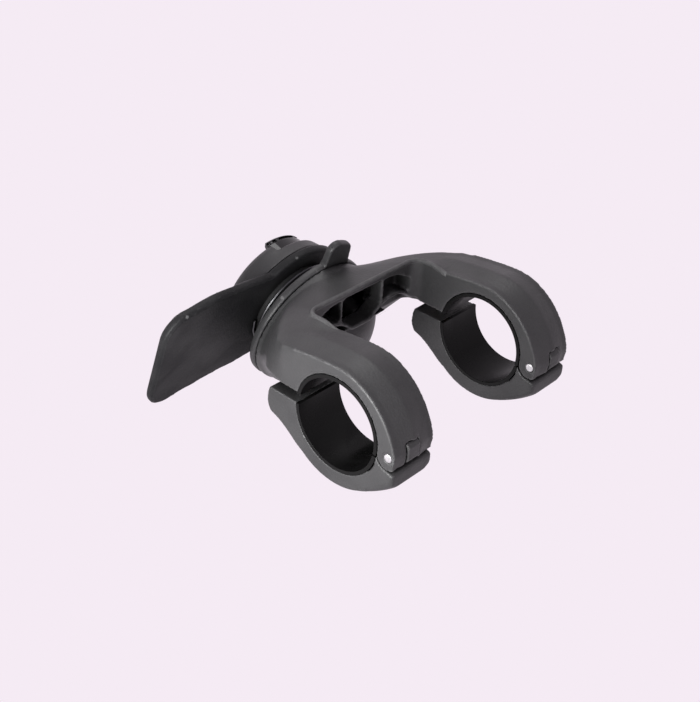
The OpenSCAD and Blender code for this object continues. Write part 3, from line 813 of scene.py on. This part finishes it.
    def melt_steps(self, skin: bmesh.types.BMesh) -> None:
        """Let each arm's top flow into the crown as in one moulding.

        Args:
            skin: The yoke's skin.
        """
        back = ClampFrame().matrix().inverted()
        region = []
        for vert in skin.verts:
            x, s, n = (back @ vert.co) / MM
            on_arm = n > self.melt_over and abs(x) > self.inner_x + self.melt_off
            if self.melt_from < s < self.melt_to and on_arm:
                region.append(vert)
        relax(skin, region, self.melt_rounds)


@dataclass
class Clamp(Assembly):
    """One hinged bar clamp with its liners, pin, bolt and washer, with sizes in millimetres."""

    side: Side
    pitch: float = 72.6
    width: float = 18.9
    hinge_back: float = 21.6
    hinge_drop: float = 1.0
    pin_d: float = 3.0
    pin_play: float = 0.2
    crown: float = 0.25
    cell: float = 0.35
    heel_from: float = 14.0
    heel_drop: float = 4.5
    heel_rounds: int = 24

    def build(self) -> None:
        """Dress the clamp's nodes and add its cap and its turned pin."""
        word = self.side.word
        cap = self.remould(f"cap_{word}", self.cell)
        self.round_heel(cap)
        self.add_moulding(f"cap_shell_{word}", cap, f"cap_{word}_body", Finish.moulded_cap, f"cap_{word}")
        self.dress_nodes({
            f"liner_fixed_{word}": Finish.liner_rubber,
            f"liner_cap_{word}": Finish.liner_rubber,
            f"clamp_bolt_{word}": Finish.bolt_steel,
            f"bolt_washer_{word}": Finish.bolt_steel,
        })
        self.add_pin()

    def round_heel(self, cap: bmesh.types.BMesh) -> None:
        """Soften the cap's corners behind the hinge.

        Args:
            cap: The cap's skin.
        """
        back = ClampFrame().matrix().inverted()
        heel = []
        for vert in cap.verts:
            _, s, n = (back @ vert.co) / MM
            if s < -self.heel_from and n < -self.hinge_drop - self.heel_drop:
                heel.append(vert)
        relax(cap, heel, self.heel_rounds)

    def add_pin(self) -> None:
        """Turned hinge pin with crowned ends in place of the plain rod."""
        shape = bmesh.new()
        length = self.width - self.pin_play
        bmesh.ops.create_cone(shape, cap_ends=True, segments=40, radius1=self.pin_d / 2 * MM,
                              radius2=self.pin_d / 2 * MM, depth=length * MM)
        rims = [edge for edge in shape.edges if abs(edge.verts[0].co.z - edge.verts[1].co.z) < WELD / 10]
        bmesh.ops.bevel(shape, geom=rims, offset=self.crown * MM, offset_type="OFFSET", affect="EDGES",
                        segments=3, profile=0.5, material=-1)
        turn = Matrix.Rotation(math.pi / 2, 4, "Y")
        middle = ClampFrame().point(self.side.value * self.pitch / 2, -self.hinge_back, -self.hinge_drop)
        bmesh.ops.transform(shape, matrix=Matrix.Translation(middle) @ turn, verts=shape.verts)
        self.add(f"pin_{self.side.word}", shape, "mount", Finish.pin_steel, (f"hinge_pin_{self.side.word}",))


@dataclass
class ReleaseLever(Assembly):
    """Sprung lever with its latch and coil spring, with sizes in millimetres.

    The latch's heights are given over the hub's seam.
    """

    axis_y: float = HEAD_Y
    seam: float = HEAD_SEAM
    cell: float = 0.4
    rounds: int = 4
    half_width: float = 22.4
    neck: float = 24.0
    tip: float = 62.0
    waist: float = 2.6
    latch_cell: float = 0.2
    latch_sharp: float = 60.0
    latch_r: float = 18.9
    latch_top: float = 25.5
    latch_lip: float = 0.9
    latch_groove: float = 1.3
    groove_deep: float = 1.3
    latch_foot: float = 18.4
    foot_inner: float = 14.7
    foot_outer: float = 17.05
    foot_cut: float = 0.4
    tooth_turns: tuple[float, ...] = (-97.0, -88.0, -58.0)
    tooth_deep: float = 1.6
    tooth_wide: float = 1.3
    tooth_in: float = 1.1
    tooth_root: float = 0.2
    spring_seat: float = 54.4
    stroke: float = 4.0

    def build(self) -> None:
        """Dress the lever and add its latch and its spring."""
        skin = self.remould("release_lever", self.cell, self.rounds)
        self.draw_in_waist(skin)
        self.add_moulding("lever_paddle", skin, "lever_body", Finish.moulded_lever, "release_lever")
        self.add_latch()
        self.add_spring()

    def add_spring(self) -> None:
        """Coil spring copied from its CAD node, with a mesh of its own, riding on the mount."""
        shape = bmesh.new()
        shape.from_mesh(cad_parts["return_spring"].data)
        coil = self.add("coil_spring", shape, "mount", Finish.spring_steel, ("return_spring",))
        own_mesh(coil)

    def add_latch(self) -> None:
        """Glossy latch with a groove under its top, teeth in the groove and a foot clear of the boss."""
        low, high = self.latch_top - self.latch_lip - self.latch_groove, self.latch_top - self.latch_lip
        teeth = tuple(self.tooth(turn, low, high) for turn in self.tooth_turns)
        groove = head_ring(self.latch_r - self.groove_deep, self.latch_r + CUT_PAST, low, high)
        foot = head_ring(self.foot_inner, self.foot_outer, self.latch_foot - CUT_PAST, self.latch_foot + self.foot_cut)
        skin = self.remould("latch_clip", self.latch_cell, cuts=(groove, foot), joins=teeth)
        self.add_moulding("latch_catch", skin, "lever_body", Finish.latch_plastic, "latch_clip", self.latch_sharp)

    def tooth(self, turn: float, low: float, high: float) -> bmesh.types.BMesh:
        """Block between the groove's floor and roof.

        Args:
            turn: Its place round the head in degrees.
            low: Height of the groove's floor.
            high: Height of the groove's roof.

        Returns:
            The block in the row frame.
        """
        block = bmesh.new()
        bmesh.ops.create_cube(block, size=1.0)
        size = Vector((self.tooth_deep, self.tooth_wide, high - low + 2 * self.tooth_root)) * MM
        bmesh.ops.scale(block, vec=size, verts=block.verts)
        bmesh.ops.translate(block, vec=Vector((self.latch_r - self.tooth_in, 0.0, (low + high) / 2)) * MM,
                            verts=block.verts)
        place = Matrix.Translation((0.0, self.axis_y * MM, self.seam * MM))
        bmesh.ops.transform(block, matrix=place @ Matrix.Rotation(math.radians(turn), 4, "Z"), verts=block.verts)
        return block

    def draw_in_waist(self, skin: bmesh.types.BMesh) -> None:
        """Hollow the paddle's long lower edge.

        Args:
            skin: The lever's skin.
        """
        for vert in skin.verts:
            along = (-vert.co.x / MM - self.neck) / (self.tip - self.neck)
            across = (vert.co.y / MM - self.axis_y) / self.half_width
            if 0.0 < along < 1.0 and across > 0.0:
                vert.co.y -= self.waist * across * math.sin(math.pi * along) * MM


@dataclass
class Head(Assembly):
    """Bayonet boss, base ring and the screws that hold them, with sizes in millimetres."""

    cell: float = 0.4
    tab_from: float = 26.6
    tab_rounds: int = 10

    def build(self) -> None:
        """Dress the head's screws and add its softened ring and boss."""
        ring = self.remould("base_ring", self.cell)
        axis = Vector((0.0, HEAD_Y * MM))
        tab = [vert for vert in ring.verts if (vert.co.xy - axis).length > self.tab_from * MM]
        relax(ring, tab, self.tab_rounds)
        self.add_moulding("base_collar", ring, "mount", Finish.moulded_head, "base_ring")
        boss = self.remould("bayonet_boss", self.cell)
        self.add_moulding("bayonet_head", boss, "mount", Finish.moulded_head, "bayonet_boss")
        self.dress_nodes({"base_screws": Finish.bolt_steel, "boss_screw": Finish.bolt_steel})


@dataclass(frozen=True)
class Lamp:
    """Square soft lamp: its place and side in metres and its power in watts."""

    name: str
    place: Place
    size: float
    power: float


@dataclass
class Studio:
    """Pale seamless studio with soft lamps and the camera of the photograph, in metres."""

    backdrop: Colour = (0.913, 0.831, 0.905)
    fill: float = 0.05
    floor_level: float = -0.22
    floor_r: float = 1.6
    floor_shown: float = 0.7
    floor_mottle: float = 0.99
    aim: Place = (0.0, 0.012, 0.025)
    lamps: tuple[Lamp, ...] = (
        Lamp("key", (-0.175, -0.045, 0.005), 0.09, 0.46),
        Lamp("upper", (0.213, -0.706, 0.524), 0.45, 2.75),
        Lamp("lower_left", (-0.693, 0.536, 0.257), 0.45, 0.6),
        Lamp("left", (-0.748, 0.071, 0.522), 0.45, 0.2),
    )
    eye: Place = (-0.284975, -0.28621, -0.12926)
    right: Place = (0.67719, -0.27337, -0.68315)
    up: Place = (0.36925, -0.67681, 0.63686)
    lens: float = 65.14

    def build(self) -> None:
        """Set the world, the floor, the lamps, the camera and the view settings."""
        self.add_world()
        self.add_floor()
        for lamp in self.lamps:
            self.add_lamp(lamp)
        self.add_camera()
        bpy.context.scene.view_settings.view_transform = "Standard"

    def add_world(self) -> None:
        """Plain light for the object, and the backdrop's colour for the camera and for gloss."""
        world = bpy.data.worlds.new("studio")
        world.use_nodes = True
        graph = Graph(world.node_tree)
        light = graph.nodes["Background"]
        graph.feed(light.inputs["Color"], opaque((1.0, 1.0, 1.0)))
        graph.feed(light.inputs["Strength"], self.fill)
        seen = graph.node("ShaderNodeBackground", {"Color": opaque(self.backdrop), "Strength": 1.0})
        mix = graph.node("ShaderNodeMixShader", {"Fac": graph.showing_rays(), 1: light.outputs["Background"],
                                                 2: seen.outputs["Background"]})
        graph.feed(graph.nodes["World Output"].inputs["Surface"], mix.outputs["Shader"])
        bpy.context.scene.world = world

    def add_floor(self) -> None:
        """Round pale floor under the object, well below the camera."""
        shape = bmesh.new()
        bmesh.ops.create_circle(shape, cap_ends=True, segments=96, radius=self.floor_r)
        bmesh.ops.translate(shape, vec=(0.0, 0.0, self.floor_level), verts=shape.verts)
        floor = hold("studio_floor", shape)
        shader = Shader("floor_paper")
        marks = shader.group(GROUPS.mould_grain, Vector=shader.place, Grain=900.0, Flow=3.0)["Marks"]
        mottled = tuple(self.floor_mottle * part for part in self.backdrop)
        tint = shader.mix(marks, opaque(self.backdrop), opaque(mottled))
        shader.feed(shader.surface["Base Color"], tint)
        shader.feed(shader.surface["Roughness"], 0.9)
        shader.feed(shader.surface["Emission Color"], tint)
        shown = shader.spread(shader.showing_rays(), 0.0, 1.0, high=self.floor_shown)
        shader.feed(shader.surface["Emission Strength"], shown)
        floor.data.materials.append(shader.material)

    def add_lamp(self, lamp: Lamp) -> None:
        """Hang a lamp that faces the middle of the mount.

        Args:
            lamp: The lamp.
        """
        data = bpy.data.lights.new(lamp.name, "AREA")
        data.shape = "SQUARE"
        data.size = lamp.size
        data.energy = lamp.power
        holder = bpy.data.objects.new(lamp.name, data)
        bpy.context.collection.objects.link(holder)
        place = Vector(lamp.place)
        turn = (place - Vector(self.aim)).to_track_quat("Z", "Y").to_matrix().to_4x4()
        holder.matrix_world = Matrix.Translation(place) @ turn

    def add_camera(self) -> None:
        """Camera at the photograph's place, lens and roll."""
        data = bpy.data.cameras.new("photo_camera")
        data.lens = self.lens
        data.sensor_width = 36.0
        data.clip_start = 0.01
        camera = bpy.data.objects.new("photo_camera", data)
        bpy.context.collection.objects.link(camera)
        right, up = Vector(self.right).normalized(), Vector(self.up).normalized()
        back = right.cross(up).normalized()
        up = back.cross(right).normalized()
        turn = Matrix((right, up, back)).transposed().to_4x4()
        camera.matrix_world = Matrix.Translation(Vector(self.eye)) @ turn
        bpy.context.scene.camera = camera


def main() -> None:
    """Build the mount in order."""
    logging.basicConfig(level=logging.INFO, format="%(name)s: %(message)s")
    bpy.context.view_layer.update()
    Studio().build()
    Yoke().build()
    for side in Side:
        Clamp(side).build()
    ReleaseLever().build()
    Head().build()


if __name__ == "__main__":
    main()
